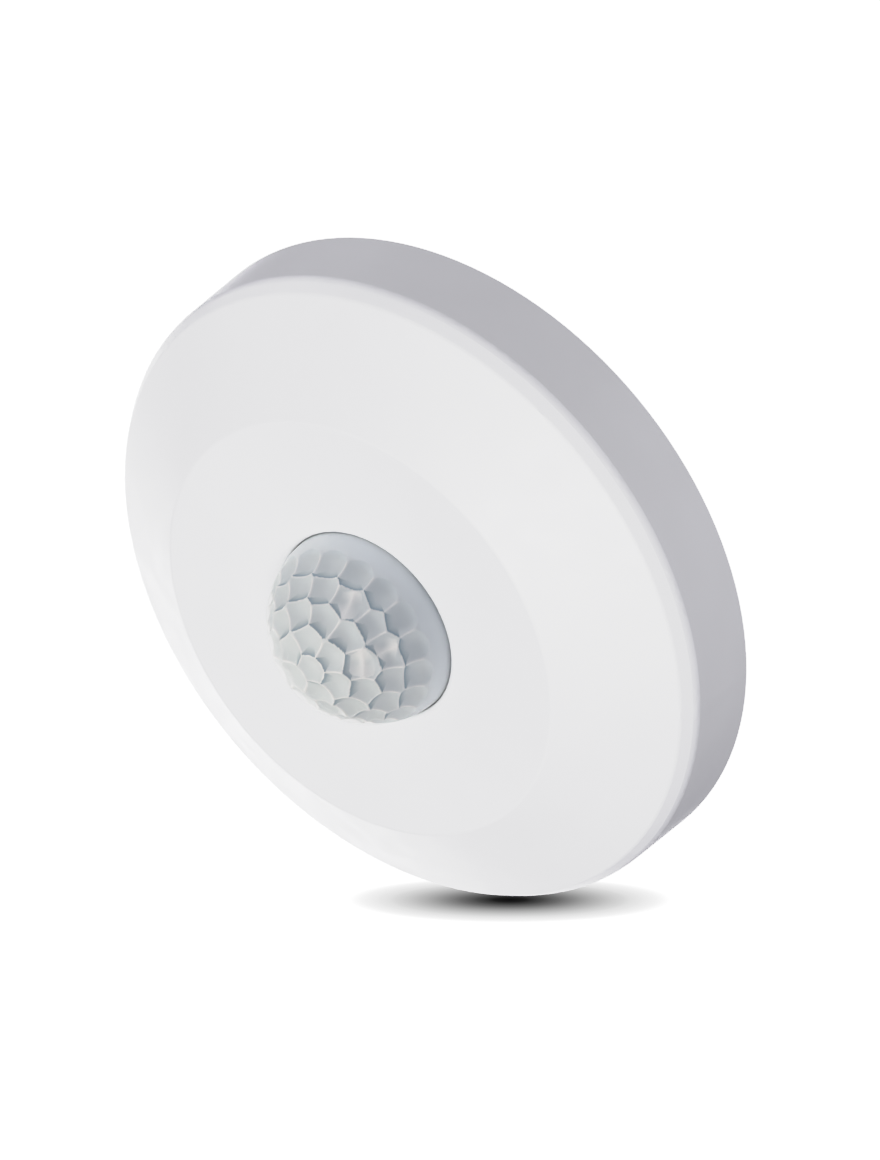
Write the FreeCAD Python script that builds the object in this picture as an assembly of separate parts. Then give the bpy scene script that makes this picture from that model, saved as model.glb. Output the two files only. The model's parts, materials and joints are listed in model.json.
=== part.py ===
"""Round 360 degree motion sensor for a ceiling or a wall, as separate pieces, in millimetres.

The pieces are modelled on the bench: the mounting base lies flat, its centre is the origin, and z is the
height in front of the wall. Each finished piece is then turned so that the wall is the plane Y = 0, the
lens looks along -Y and bench +y becomes +Z.
"""
import FreeCAD, Part
import math
import os
from collections import namedtuple

from FreeCAD import Vector

# ---- driving dimensions -------------------------------------------------------------------------------

# front cover, outside
REAR_RADIUS = 58.0
SHOULDER_RADIUS, SHOULDER_HEIGHT = 57.74, 13.8
CHAMFER_RADIUS, CHAMFER_HEIGHT = 56.2, 16.5
CREST_RADIUS, CREST_HEIGHT = 38.5, 27.9
HOLE_RADIUS, HOLE_HEIGHT = 17.15, 26.5
COVER_WALL = 2.0
WALL_GAP = 0.3                      # the cover's rim stops this far from the wall
SHOULDER_ROUND, CHAMFER_ROUND, CREST_ROUND, HOLE_ROUND = 3.0, 1.2, 0.8, 0.9

# lens and its seat
LENS_RADIUS, LENS_CENTRE, LENS_WALL = 17.0, 25.0, 1.0
FLANGE_RADIUS, FLANGE_THICKNESS = 20.0, 1.2
SEAT_RADIUS, SEAT_HEIGHT = 23.2, 24.2
RETAINER_INNER, RETAINER_OUTER, RETAINER_THICKNESS = 16.4, 22.6, 1.5
STAKE_CIRCLE, STAKE_RADIUS, STAKE_HEAD_RADIUS, STAKE_HEAD = 21.4, 0.8, 1.2, 0.6
STAKE_ANGLES = (30, 150, 270)

# mounting base
BASE_RADIUS, PLATE_THICKNESS = 55.4, 2.5
RIM_INNER, RIM_OUTER, RIM_HEIGHT = 52.4, 54.4, 9.0
REAR_RECESS, REAR_LAND_RADIUS, HUB_RADIUS = 1.0, 50.0, 9.0
RIB_WIDTH, RIB_HEIGHT = 1.6, 4.0
REAR_RIB_WIDTH = 3.2              # of the ribs that cross the hollow in the plate's back
BASE_RIB_ANGLES = (40, 75, 145, 205, 250, 290, 335)
SLOT_SPACING, SLOT_WIDTH, SLOT_LENGTH = 84.0, 4.5, 11.0
SLOT_BOSS_MARGIN, SLOT_BOSS_HEIGHT = 2.2, 3.5
CABLE_RADIUS, CABLE_Y, CABLE_COLLAR, CABLE_COLLAR_HEIGHT = 8.0, -38.0, 2.0, 5.0
KEY_WIDTH, KEY_CLEARANCE = 3.0, 0.3

# circuit board
BOARD_RADIUS, BOARD_EDGE_Y = 35.0, -26.0
BOARD_BOTTOM, BOARD_TOP = 6.5, 8.1
POST_CIRCLE, POST_RADIUS, POST_ANGLES = 30.0, 3.2, (112, 228, 320)
SCREW_CORE, SCREW_HOLE, SCREW_HEAD_RADIUS, SCREW_HEAD, SCREW_HEAD_ROUND = 1.25, 1.5, 2.6, 1.7, 0.85
SCREW_CROSS_REACH, SCREW_CROSS_DEPTH, SCREW_CROSS_WIDTH = 1.56, 1.0, 0.6
PILOT_BOTTOM = 1.6
LEAD_RADIUS, LEAD_END, LEAD_HOLE, BEND_RADIUS = 0.3, 5.0, 0.5, 0.9
SOLDER_RADIUS, SOLDER_HEIGHT = 0.8, 0.9

# terminal block
POLE_NAMES = ("live", "neutral", "load")
POLE_PITCH = 7.5
TERMINAL_BACK, TERMINAL_FRONT, TERMINAL_TOP = -15.0, -26.0, 20.1
CAGE_Y, CAGE_LOW, CAGE_HIGH = -21.4, 9.2, 14.8
CAGE_HALF_WIDTH, CAGE_HALF_DEPTH, CAGE_WALL, CAGE_CROWN = 2.7, 2.9, 0.8, 1.4
CAGE_TRAVEL, CAGE_CLEARANCE = 2.0, 0.2
TERMINAL_SCREW_RADIUS, TERMINAL_HEAD_RADIUS, RUNNING_GAP = 1.5, 2.42, 0.06
TERMINAL_HEAD, TERMINAL_HEAD_ROUND, TERMINAL_HEAD_CLEARANCE = 1.85, 0.4, 0.05
TERMINAL_SLOT_WIDTH, TERMINAL_SLOT_DEPTH, TERMINAL_CROSS_REACH, TERMINAL_CROSS_DEPTH = 0.7, 0.9, 1.7, 1.1
BAR_LOW, BAR_HIGH, BAR_HALF_WIDTH, BAR_CLEARANCE = 12.4, 13.2, 1.3, 0.1

# motion sensor, knobs
HOLDER_FOOT_RADIUS, HOLDER_TOP_RADIUS, HOLDER_TOP = 7.0, 5.6, 19.2
HOLDER_LIP, HOLDER_BORE_RADIUS, HOLDER_ROOF = 0.8, 3.8, 1.0
PIR_FLANGE_RADIUS, PIR_CAN_RADIUS, PIR_HEIGHT, PIR_LEAD_CIRCLE = 4.6, 4.1, 4.4, 2.54
PIR_FLANGE_THICKNESS, PIR_CAN_ROUND = 0.5, 0.4
TRIMMER_SIDE, TRIMMER_TOP, TRIMMER_ROUND, TRIMMER_BORE_FLOOR = 9.8, 13.0, 0.5, 1.3
KNOB_RADIUS, KNOB_LOW, KNOB_TOP, KNOB_ROUND, KNOB_SHAFT, KNOB_SHAFT_GAP = 4.2, 13.3, 18.3, 0.5, 2.0, 0.1

TINY = 0.001
PAST = 1.0                          # how far a cutting tool runs past the surface it opens
ORIGIN = Vector(0, 0, 0)
UP = Vector(0, 0, 1)

Spot = namedtuple("Spot", "x y turn")


# ---- plain shapes ---------------------------------------------------------------------------------------

def cylinder(radius, low, high, x=0.0, y=0.0):
    return Part.makeCylinder(radius, high - low, Vector(x, y, low))


def cone(low_radius, high_radius, low, high, x=0.0, y=0.0):
    return Part.makeCone(low_radius, high_radius, high - low, Vector(x, y, low))


def block(x_range, y_range, z_range):
    sizes = [high - low for low, high in (x_range, y_range, z_range)]
    return Part.makeBox(*sizes, Vector(x_range[0], y_range[0], z_range[0]))


def box_on(width, depth, low, high):
    """A box centred on the z axis."""
    return block((-width / 2, width / 2), (-depth / 2, depth / 2), (low, high))


def turned(outline, angle=360.0):
    """The solid that a closed outline of (radius, height) points sweeps about the z axis."""
    points = [Vector(radius, 0, height) for radius, height in outline]
    face = Part.Face(Part.makePolygon(points + points[:1]))
    return face.revolve(ORIGIN, UP, angle)


def extruded(outline, thickness):
    """A plate in the xz plane, centred on y = 0, with the given (x, z) outline."""
    points = [Vector(x, -thickness / 2, z) for x, z in outline]
    return Part.Face(Part.makePolygon(points + points[:1])).extrude(Vector(0, thickness, 0))


def rotated(shape, angle):
    copy = shape.copy()
    copy.rotate(ORIGIN, UP, angle)
    return copy


def moved(shape, x, y, z=0.0):
    copy = shape.copy()
    copy.translate(Vector(x, y, z))
    return copy


def around(shape, angles):
    return [rotated(shape, angle) for angle in angles]


def polar(radius, angle):
    return radius * math.cos(math.radians(angle)), radius * math.sin(math.radians(angle))


def stadium(width, length, low, high, x):
    """A slot's solid, running along x."""
    reach = (length - width) / 2
    middle = block((x - reach, x + reach), (-width / 2, width / 2), (low, high))
    ends = [cylinder(width / 2, low, high, x + side * reach) for side in (-1, 1)]
    return middle.multiFuse(ends).removeSplitter()


def ring_edges(shape, radius, height):
    """The circular edges about the z axis with this radius, at this height."""
    found = []
    for edge in shape.Edges:
        curve = edge.Curve
        if not isinstance(curve, Part.Circle):
            continue
        if abs(curve.Radius - radius) < TINY and abs(curve.Center.z - height) < TINY:
            found.append(edge)
    return found


def line_crossing(a, b, c, d):
    """Where the line through a and b meets the line through c and d."""
    ux, uy = b[0] - a[0], b[1] - a[1]
    vx, vy = d[0] - c[0], d[1] - c[1]
    along = ((c[0] - a[0]) * vy - (c[1] - a[1]) * vx) / (ux * vy - uy * vx)
    return a[0] + along * ux, a[1] + along * uy


def inset(outline, depth):
    """An open outline moved sideways by depth, to its left as it is walked."""
    moved_lines = []
    for (ax, ay), (bx, by) in zip(outline, outline[1:]):
        length = math.hypot(bx - ax, by - ay)
        dx, dy = -(by - ay) / length * depth, (bx - ax) / length * depth
        moved_lines.append(((ax + dx, ay + dy), (bx + dx, by + dy)))
    corners = [moved_lines[0][0]]
    for first, second in zip(moved_lines, moved_lines[1:]):
        corners.append(line_crossing(*first, *second))
    return corners + [moved_lines[-1][1]]


# ---- places on the board ------------------------------------------------------------------------------

def ring_spot(radius, angle):
    """A spot near the board's edge: the component's own x axis points away from the centre."""
    x, y = polar(radius, angle)
    return Spot(x, y, angle)


SPOTS = {
    "relay": ring_spot(28.3, 150),
    "film_capacitor": ring_spot(28.0, 196),
    "smoothing_capacitor": ring_spot(28.5, 88),
    "varistor": ring_spot(28.5, -15),
    "time_trimmer": ring_spot(27.0, 20),
    "light_trimmer": ring_spot(27.0, 55),
    "fuse_resistor": Spot(-14.0, -12.5, 0),
    "voltage_regulator": Spot(8.0, 16.0, 20),
    "relay_transistor": Spot(-6.5, 13.0, 0),
    "controller_chip": Spot(15.5, -2.0, 0),
    "light_sensor": Spot(2.0, 12.3, 0),
    "indicator_light": Spot(7.5, -9.0, 0),
}
DIODE_SPOTS = [Spot(x, y, 90) for x in (-15.0, -11.0) for y in (-4.6, 6.0)]
TIMING_CAPACITOR_SPOTS = [Spot(10.8, 6.2, 0), Spot(16.5, 8.2, 30)]
RESISTOR_SPOTS = [Spot(20.8, y, 90) for y in (-8.5, -5.0, -1.5, 2.0)] + [Spot(x, 19.0, 0) for x in (-4, 0, 4)]
CERAMIC_SPOTS = [Spot(11.0, y, 90) for y in (-5.0, -2.0, 1.0)] + [Spot(x, -11.0, 0) for x in (-3.0, 1.0)]

DIODE_PITCH, FUSE_PITCH = 9.4, 9.0
# lead positions in each component's own axes
OWN_LEADS = {
    "relay": [(-3.8, -7.5), (3.8, -7.5), (0.0, 2.5), (-3.8, 7.5), (3.8, 7.5)],
    "film_capacitor": [(0.0, -7.5), (0.0, 7.5)],
    "smoothing_capacitor": [(0.0, -2.5), (0.0, 2.5)],
    "varistor": [(0.0, -2.5), (0.0, 2.5)],
    "time_trimmer": [(2.5, -2.5), (2.5, 2.5), (-2.5, 0.0)],
    "light_trimmer": [(2.5, -2.5), (2.5, 2.5), (-2.5, 0.0)],
    "voltage_regulator": [(-1.7, 0.0), (0.0, 0.0), (1.7, 0.0)],
    "relay_transistor": [(-1.7, 0.0), (0.0, 0.0), (1.7, 0.0)],
    "light_sensor": [(-1.7, 0.0), (1.7, 0.0)],
    "indicator_light": [(-1.2, 0.0), (1.2, 0.0)],
}
SHORT_LEADS = ("relay", "film_capacitor", "smoothing_capacitor", "varistor", "time_trimmer",
               "light_trimmer", "voltage_regulator", "relay_transistor")
TIMING_LEADS = [(-1.0, 0.0), (1.0, 0.0)]
STANDOFF = {"varistor": 1.5, "voltage_regulator": 2.5, "relay_transistor": 2.5}
LIGHT_SENSOR_LOW, INDICATOR_LOW = 20.0, 16.5
LIGHT_SENSOR_RADIUS, LIGHT_SENSOR_FLAT, LIGHT_SENSOR_THICKNESS = 2.5, 2.1, 2.0


def place(shape, spot):
    """Move a component from its own axes to its spot."""
    return moved(rotated(shape, spot.turn), spot.x, spot.y)


def place_point(point, spot):
    cosine, sine = math.cos(math.radians(spot.turn)), math.sin(math.radians(spot.turn))
    x, y = point
    return spot.x + cosine * x - sine * y, spot.y + sine * x + cosine * y


def lead_points(name):
    return [place_point(point, SPOTS[name]) for point in OWN_LEADS[name]]


def axial_lead_points(spot, pitch):
    return [place_point((side * pitch / 2, 0.0), spot) for side in (-1, 1)]


def timing_lead_points():
    return [place_point(point, spot) for spot in TIMING_CAPACITOR_SPOTS for point in TIMING_LEADS]


def pir_lead_points():
    return [polar(PIR_LEAD_CIRCLE, angle) for angle in (45, 135, 270)]


def pole_centres():
    middle = (len(POLE_NAMES) - 1) / 2
    return {name: (index - middle) * POLE_PITCH for index, name in enumerate(POLE_NAMES)}


BAR_LEG_BACK, BAR_LEG_FRONT = -16.8, -17.6


def bar_pin_points():
    return [(x, (BAR_LEG_BACK + BAR_LEG_FRONT) / 2) for x in pole_centres().values()]


def all_lead_points():
    """Every place where a lead passes through the board."""
    points = [point for name in OWN_LEADS for point in lead_points(name)]
    points += [point for spot in DIODE_SPOTS for point in axial_lead_points(spot, DIODE_PITCH)]
    points += axial_lead_points(SPOTS["fuse_resistor"], FUSE_PITCH)
    return points + timing_lead_points() + pir_lead_points() + bar_pin_points()


# ---- cover and lens --------------------------------------------------------------------------------------

COVER_OUTLINE = [
    (REAR_RADIUS, WALL_GAP),
    (SHOULDER_RADIUS, SHOULDER_HEIGHT),
    (CHAMFER_RADIUS, CHAMFER_HEIGHT),
    (CREST_RADIUS, CREST_HEIGHT),
    (HOLE_RADIUS, HOLE_HEIGHT),
]
COVER_RIB_ANGLES = tuple(range(0, 360, 60))
COVER_RIB_WIDTH = 1.2
COVER_RIB = [(55.0, 10.5), (57.0, 10.5), (57.0, 17.5), (46.0, 24.0), (46.0, 17.0)]
BEAD_ANGLES = (20, 140, 260)
BEAD_SWEEP, BEAD_REACH, BEAD_LOW, BEAD_HIGH = 18.0, 54.8, 3.0, 5.0
KEY_REACH, KEY_TOP = 54.8, 12.0


def cover_shell():
    """The turned shell: side wall, chamfer band, cone, shallow dish and the flat seat for the lens."""
    inner = inset(COVER_OUTLINE, COVER_WALL)[:-1]
    inner[0] = (inner[0][0], WALL_GAP)
    dish = inset(COVER_OUTLINE[-2:], COVER_WALL)
    step_top = line_crossing(*dish, (SEAT_RADIUS, 0.0), (SEAT_RADIUS, 1.0))
    seat = [step_top, (SEAT_RADIUS, SEAT_HEIGHT), (HOLE_RADIUS, SEAT_HEIGHT)]
    shell = turned(COVER_OUTLINE + list(reversed(inner + seat)))
    rounds = ((1, SHOULDER_ROUND), (2, CHAMFER_ROUND), (3, CREST_ROUND), (4, HOLE_ROUND))
    for corner, size in rounds:
        shell = shell.makeFillet(size, ring_edges(shell, *COVER_OUTLINE[corner]))
    return shell


def snap_beads():
    wall = REAR_RADIUS - COVER_WALL
    middle = (BEAD_LOW + BEAD_HIGH) / 2
    root = PAST / 2
    outline = [(wall + root, BEAD_LOW - root), (BEAD_REACH, middle), (wall + root, BEAD_HIGH + root)]
    return around(turned(outline, BEAD_SWEEP), [angle - BEAD_SWEEP / 2 for angle in BEAD_ANGLES])


def heat_stakes():
    """The pins that pass through the lens retainer, with their melted heads."""
    ring_low = SEAT_HEIGHT - FLANGE_THICKNESS - RETAINER_THICKNESS
    pin = cylinder(STAKE_RADIUS, ring_low, SEAT_HEIGHT + PAST / 2, STAKE_CIRCLE)
    head = cylinder(STAKE_HEAD_RADIUS, ring_low - STAKE_HEAD, ring_low, STAKE_CIRCLE)
    return around(pin.fuse(head), STAKE_ANGLES)


def front_cover():
    envelope = turned([(0, 0)] + COVER_OUTLINE + [(0, HOLE_HEIGHT)])
    ribs = around(extruded(COVER_RIB, COVER_RIB_WIDTH).common(envelope), COVER_RIB_ANGLES)
    half = KEY_WIDTH / 2
    key = block((-half, half), (KEY_REACH, REAR_RADIUS - COVER_WALL / 2), (WALL_GAP, KEY_TOP))
    return cover_shell().multiFuse(ribs + snap_beads() + heat_stakes() + [key]).removeSplitter()


def dome_arc(radius):
    """A quarter circle of the dome from the apex down to its widest place."""
    middle = radius * math.sqrt(0.5)
    apex = Vector(0, 0, LENS_CENTRE + radius)
    return Part.Arc(apex, Vector(middle, 0, LENS_CENTRE + middle), Vector(radius, 0, LENS_CENTRE)).toShape()


def dome_lens():
    """A half sphere on a short skirt, with a flange that sits against the cover's seat."""
    low = SEAT_HEIGHT - FLANGE_THICKNESS
    inner = LENS_RADIUS - LENS_WALL
    outer_path = [(LENS_RADIUS, LENS_CENTRE), (LENS_RADIUS, SEAT_HEIGHT), (FLANGE_RADIUS, SEAT_HEIGHT),
                  (FLANGE_RADIUS, low), (inner, low), (inner, LENS_CENTRE)]
    straights = Part.makePolygon([Vector(radius, 0, height) for radius, height in outer_path]).Edges
    axis = Part.makeLine(Vector(0, 0, LENS_CENTRE + inner), Vector(0, 0, LENS_CENTRE + LENS_RADIUS))
    edges = [dome_arc(LENS_RADIUS)] + straights + [dome_arc(inner), axis]
    return Part.Face(Part.Wire(Part.sortEdges(edges)[0])).revolve(ORIGIN, UP, 360)


def lens_retainer():
    high = SEAT_HEIGHT - FLANGE_THICKNESS
    low = high - RETAINER_THICKNESS
    ring = cylinder(RETAINER_OUTER, low, high).cut(cylinder(RETAINER_INNER, low - PAST, high + PAST))
    hole = cylinder(STAKE_RADIUS + RUNNING_GAP, low - PAST, high + PAST, STAKE_CIRCLE)
    return ring.cut(Part.makeCompound(around(hole, STAKE_ANGLES)))


# ---- mounting base ---------------------------------------------------------------------------------------

def rear_recess():
    """The shallow hollow in the back of the plate, less the hub and ribs that reach the wall."""
    recess = cylinder(REAR_LAND_RADIUS, -PAST, REAR_RECESS)
    half_rib = REAR_RIB_WIDTH / 2
    rib = block((0, REAR_LAND_RADIUS + PAST), (-half_rib, half_rib), (-2 * PAST, REAR_RECESS + PAST))
    return recess.cut(cylinder(HUB_RADIUS, -2 * PAST, REAR_RECESS + PAST)).cut(
        Part.makeCompound(around(rib, BASE_RIB_ANGLES)))


def mounting_base():
    plate = cylinder(BASE_RADIUS, 0, PLATE_THICKNESS).cut(rear_recess())
    rim = cylinder(RIM_OUTER, PLATE_THICKNESS, RIM_HEIGHT).cut(
        cylinder(RIM_INNER, PLATE_THICKNESS - PAST, RIM_HEIGHT + PAST))
    half_rib = RIB_WIDTH / 2
    rib = block((HUB_RADIUS, RIM_INNER + half_rib), (-half_rib, half_rib), (PLATE_THICKNESS, RIB_HEIGHT))
    hub = cylinder(HUB_RADIUS + half_rib, PLATE_THICKNESS, RIB_HEIGHT)
    posts = around(cylinder(POST_RADIUS, REAR_RECESS / 2, BOARD_BOTTOM, POST_CIRCLE), POST_ANGLES)
    slot_places = [side * SLOT_SPACING / 2 for side in (-1, 1)]
    margin = 2 * SLOT_BOSS_MARGIN
    bosses = [stadium(SLOT_WIDTH + margin, SLOT_LENGTH + margin, 0, SLOT_BOSS_HEIGHT, x) for x in slot_places]
    collar = cylinder(CABLE_RADIUS + CABLE_COLLAR, 0, CABLE_COLLAR_HEIGHT, 0, CABLE_Y)
    solid = plate.multiFuse([rim, hub, collar] + around(rib, BASE_RIB_ANGLES) + posts + bosses)

    cuts = [stadium(SLOT_WIDTH, SLOT_LENGTH, -PAST, SLOT_BOSS_HEIGHT + PAST, x) for x in slot_places]
    cuts.append(cylinder(CABLE_RADIUS, -PAST, CABLE_COLLAR_HEIGHT + PAST, 0, CABLE_Y))
    cuts += around(cylinder(SCREW_CORE, PILOT_BOTTOM, BOARD_BOTTOM + PAST, POST_CIRCLE), POST_ANGLES)
    half_key = KEY_WIDTH / 2 + KEY_CLEARANCE
    cuts.append(block((-half_key, half_key), (RIM_OUTER, BASE_RADIUS + PAST),
                      (-PAST, PLATE_THICKNESS + PAST)))
    return solid.cut(Part.makeCompound(cuts)).removeSplitter()


# ---- circuit board ---------------------------------------------------------------------------------------

def circuit_board():
    disc = cylinder(BOARD_RADIUS, BOARD_BOTTOM, BOARD_TOP)
    spare = block((-BOARD_RADIUS, BOARD_RADIUS), (-2 * BOARD_RADIUS, BOARD_EDGE_Y), (0, 2 * BOARD_TOP))
    low, high = BOARD_BOTTOM - PAST, BOARD_TOP + PAST
    holes = [cylinder(LEAD_HOLE, low, high, x, y) for x, y in all_lead_points()]
    holes += around(cylinder(SCREW_HOLE, low, high, POST_CIRCLE), POST_ANGLES)
    return disc.cut(spare).cut(Part.makeCompound(holes))


def cross_recess(radius, low, high, width):
    """The cutter for a cross in a screw's head."""
    first = box_on(2 * radius, width, low, high)
    return first.fuse(rotated(first, 90))


def board_screws():
    head_top = BOARD_TOP + SCREW_HEAD
    shank = cylinder(SCREW_CORE, PILOT_BOTTOM + PAST / 2, BOARD_TOP)
    head = cylinder(SCREW_HEAD_RADIUS, BOARD_TOP, head_top)
    head = head.makeFillet(SCREW_HEAD_ROUND, ring_edges(head, SCREW_HEAD_RADIUS, head_top))
    cross = cross_recess(SCREW_CROSS_REACH, head_top - SCREW_CROSS_DEPTH, head_top + PAST, SCREW_CROSS_WIDTH)
    screw = moved(shank.fuse(head).cut(cross), POST_CIRCLE, 0)
    return Part.makeCompound(around(screw, POST_ANGLES))


def standoff_top(name):
    return BOARD_TOP + STANDOFF.get(name, 0.0)


def straight_leads(points, top):
    return [cylinder(LEAD_RADIUS, LEAD_END, top, x, y) for x, y in points]


def bent_lead(foot, side, axis_height, run):
    """A lead that comes up through the board and bends over towards the body, on one tangent arc."""
    corner = Vector(foot - side * BEND_RADIUS, 0, axis_height - BEND_RADIUS)
    low, up = Vector(foot, 0, LEAD_END), Vector(foot, 0, corner.z)
    over, end = Vector(corner.x, 0, axis_height), Vector(foot - side * run, 0, axis_height)
    middle = corner + Vector(side, 0, 1) * (BEND_RADIUS * math.sqrt(0.5))
    path = Part.Wire([Part.makeLine(low, up), Part.Arc(up, middle, over).toShape(), Part.makeLine(over, end)])
    section = Part.Wire(Part.makeCircle(LEAD_RADIUS, low, UP))
    return path.makePipeShell([section], True, False)


def axial_leads(spot, pitch, axis_height, body_length):
    """The two bent leads of a part that lies on the board."""
    run = (pitch - body_length) / 2
    leads = [bent_lead(side * pitch / 2, side, axis_height, run) for side in (-1, 1)]
    return [place(lead, spot) for lead in leads]


DIODE_LENGTH, DIODE_RADIUS, DIODE_AXIS = 5.2, 1.35, BOARD_TOP + 1.65
FUSE_LENGTH, FUSE_RADIUS, FUSE_AXIS = 6.4, 1.5, BOARD_TOP + 1.8


def component_leads():
    leads = [lead for name in SHORT_LEADS for lead in straight_leads(lead_points(name), standoff_top(name))]
    leads += straight_leads(timing_lead_points(), BOARD_TOP)
    for spot in DIODE_SPOTS:
        leads += axial_leads(spot, DIODE_PITCH, DIODE_AXIS, DIODE_LENGTH)
    leads += axial_leads(SPOTS["fuse_resistor"], FUSE_PITCH, FUSE_AXIS, FUSE_LENGTH)
    return Part.makeCompound(leads)


def solder_joints():
    low = BOARD_BOTTOM - SOLDER_HEIGHT
    joint = cone(LEAD_HOLE, SOLDER_RADIUS, low, BOARD_BOTTOM).cut(cylinder(LEAD_RADIUS, low, BOARD_BOTTOM))
    return Part.makeCompound([moved(joint, x, y) for x, y in all_lead_points()])


# ---- parts on the board -------------------------------------------------------------------------------

RELAY_SIZE, RELAY_HEIGHT, RELAY_ROUND = (10.2, 18.4), 15.3, 0.6
FILM_SIZE, FILM_HEIGHT, FILM_ROUND = (8.5, 18.0), 14.5, 0.5
SMOOTHING_RADIUS, SMOOTHING_HEIGHT = 5.0, 12.5
VARISTOR_RADIUS, VARISTOR_THICKNESS, VARISTOR_ROUND = 5.0, 4.2, 1.68
DIP_FOOT_RADIUS, DIP_TOP_RADIUS = 1.0, 1.3          # the coating that runs down the varistor's leads
TIMING_RADIUS, TIMING_HEIGHT = 2.5, 7.0
LYING_ROUND = 0.42
TO92_RADIUS, TO92_FLAT, TO92_HEIGHT = 2.4, 1.3, 4.6
CHIP_WIDTH, CHIP_LENGTH, CHIP_LOW, CHIP_HIGH = 4.0, 10.0, BOARD_TOP + 0.15, BOARD_TOP + 1.6
CHIP_DOT_RADIUS, CHIP_DOT_DEPTH, CHIP_DOT_INSET = 0.4, 0.1, 0.9
CHIP_LEG_PITCH, CHIP_LEGS_A_SIDE, CHIP_LEG_WIDTH = 1.2, 8, 0.45
CHIP_LEG_TOP, CHIP_LEG_THICKNESS, CHIP_LEG_KNEE, CHIP_LEG_REACH = BOARD_TOP + 0.95, 0.2, 0.55, 1.1
SURFACE_PART_SIZE, RESISTOR_HEIGHT, CERAMIC_HEIGHT, CERAMIC_ROUND = (2.0, 1.25), 0.55, 1.0, 0.15


def rounded_box(width, depth, low, high, radius):
    """A box centred on the z axis, with its upright and top edges rounded."""
    body = box_on(width, depth, low, high)
    edges = [edge for edge in body.Edges if edge.CenterOfMass.z > low + TINY]
    return body.makeFillet(radius, edges)


def relay():
    body = rounded_box(*RELAY_SIZE, BOARD_TOP, BOARD_TOP + RELAY_HEIGHT, RELAY_ROUND)
    return place(body, SPOTS["relay"])


def film_capacitor():
    body = rounded_box(*FILM_SIZE, BOARD_TOP, BOARD_TOP + FILM_HEIGHT, FILM_ROUND)
    return place(body, SPOTS["film_capacitor"])


def can_capacitor(radius, height):
    """A sleeved can with the rolled groove near its foot and a pressed top."""
    low, high = BOARD_TOP, BOARD_TOP + height
    lip, groove = 0.12 * radius, 0.1 * radius
    outline = [(0, low), (radius - groove, low), (radius, low + lip), (radius, low + 3 * lip),
               (radius - groove, low + 4.5 * lip), (radius, low + 6 * lip), (radius, high - groove),
               (radius - groove, high), (radius - 2 * groove, high), (radius - 2 * groove, high - groove / 2),
               (0, high - groove / 2)]
    return turned(outline)


def smoothing_capacitor():
    return place(can_capacitor(SMOOTHING_RADIUS, SMOOTHING_HEIGHT), SPOTS["smoothing_capacitor"])


def timing_capacitors():
    can = can_capacitor(TIMING_RADIUS, TIMING_HEIGHT)
    return Part.makeCompound([place(can, spot) for spot in TIMING_CAPACITOR_SPOTS])


def varistor():
    low, leads = standoff_top("varistor"), OWN_LEADS["varistor"]
    centre = Vector(-VARISTOR_THICKNESS / 2, 0, low + VARISTOR_RADIUS)
    disc = Part.makeCylinder(VARISTOR_RADIUS, VARISTOR_THICKNESS, centre, Vector(1, 0, 0))
    disc = disc.makeFillet(VARISTOR_ROUND, [edge for edge in disc.Edges if edge.Closed])
    sockets = [cylinder(LEAD_RADIUS, 0, low, *point) for point in leads]
    dips = [cone(DIP_FOOT_RADIUS, DIP_TOP_RADIUS, low, centre.z, *point) for point in leads]
    return place(disc.multiFuse(dips).cut(Part.makeCompound(sockets)), SPOTS["varistor"])


def lying_body(length, radius, axis_height):
    body = Part.makeCylinder(radius, length, Vector(-length / 2, 0, axis_height), Vector(1, 0, 0))
    return body.makeFillet(LYING_ROUND, [edge for edge in body.Edges if edge.Closed])


def fuse_resistor():
    return place(lying_body(FUSE_LENGTH, FUSE_RADIUS, FUSE_AXIS), SPOTS["fuse_resistor"])


def rectifier_diodes():
    diode = lying_body(DIODE_LENGTH, DIODE_RADIUS, DIODE_AXIS)
    return Part.makeCompound([place(diode, spot) for spot in DIODE_SPOTS])


def to92_body(name):
    low = standoff_top(name)
    body = cylinder(TO92_RADIUS, low, low + TO92_HEIGHT)
    beyond = 2 * TO92_RADIUS
    flat = block((-beyond, beyond), (-beyond, -TO92_FLAT), (0, 2 * low + TO92_HEIGHT))
    return place(body.cut(flat), SPOTS[name])


def voltage_regulator():
    return to92_body("voltage_regulator")


def relay_transistor():
    return to92_body("relay_transistor")


def controller_chip():
    body = box_on(CHIP_WIDTH, CHIP_LENGTH, CHIP_LOW, CHIP_HIGH)
    dot_x, dot_y = CHIP_DOT_INSET - CHIP_WIDTH / 2, CHIP_LENGTH / 2 - CHIP_DOT_INSET
    dot = cylinder(CHIP_DOT_RADIUS, CHIP_HIGH - CHIP_DOT_DEPTH, CHIP_HIGH + PAST, dot_x, dot_y)
    return place(body.cut(dot), SPOTS["controller_chip"])


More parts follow.
